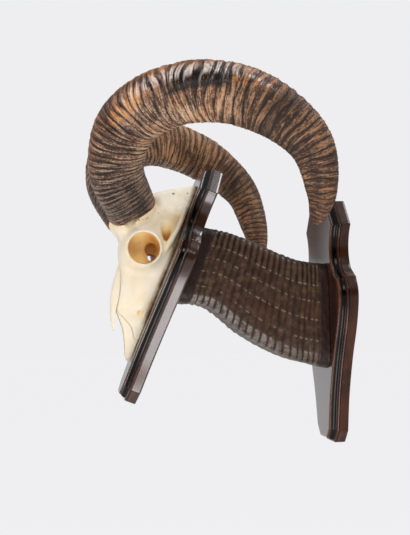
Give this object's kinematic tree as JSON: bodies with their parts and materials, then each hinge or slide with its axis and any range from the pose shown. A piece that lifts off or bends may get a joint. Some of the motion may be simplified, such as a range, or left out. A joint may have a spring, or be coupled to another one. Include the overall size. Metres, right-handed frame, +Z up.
{
  "type": "mouflon ram skull trophy",
  "caption": "Ram skull with long ringed horns curling back, set on a leaning wooden shield that a carved arm holds out from a matching wall shield.",
  "frame": {"origin": "centre of the wall shield's back face, where it meets the wall", "axes": "+Z up, +Y into the wall, the ram's nose toward -Y and down, +X toward the ram's left"},
  "size_m": [0.4506, 0.326, 0.4529],
  "materials": {
    "shield_wood": "dark brown stain under satin varnish",
    "arm_wood": "carved, dark brown stain under satin varnish",
    "hanger_steel": "plain steel",
    "bone": "dry, smooth, cream",
    "horn_sheath": "ringed, satin, grey brown at the root and orange brown on the outer curve"
  },
  "bodies": {
    "root": {"wall_shield": "shield_wood", "skull_shield": "shield_wood", "arm": "arm_wood", "hanger_plate": "hanger_steel", "cranium": "bone", "nasal_left": "bone", "nasal_right": "bone", "premaxilla_left": "bone", "premaxilla_right": "bone", "horn_left": "horn_sheath", "horn_right": "horn_sheath"}
  },
  "joints": []
}
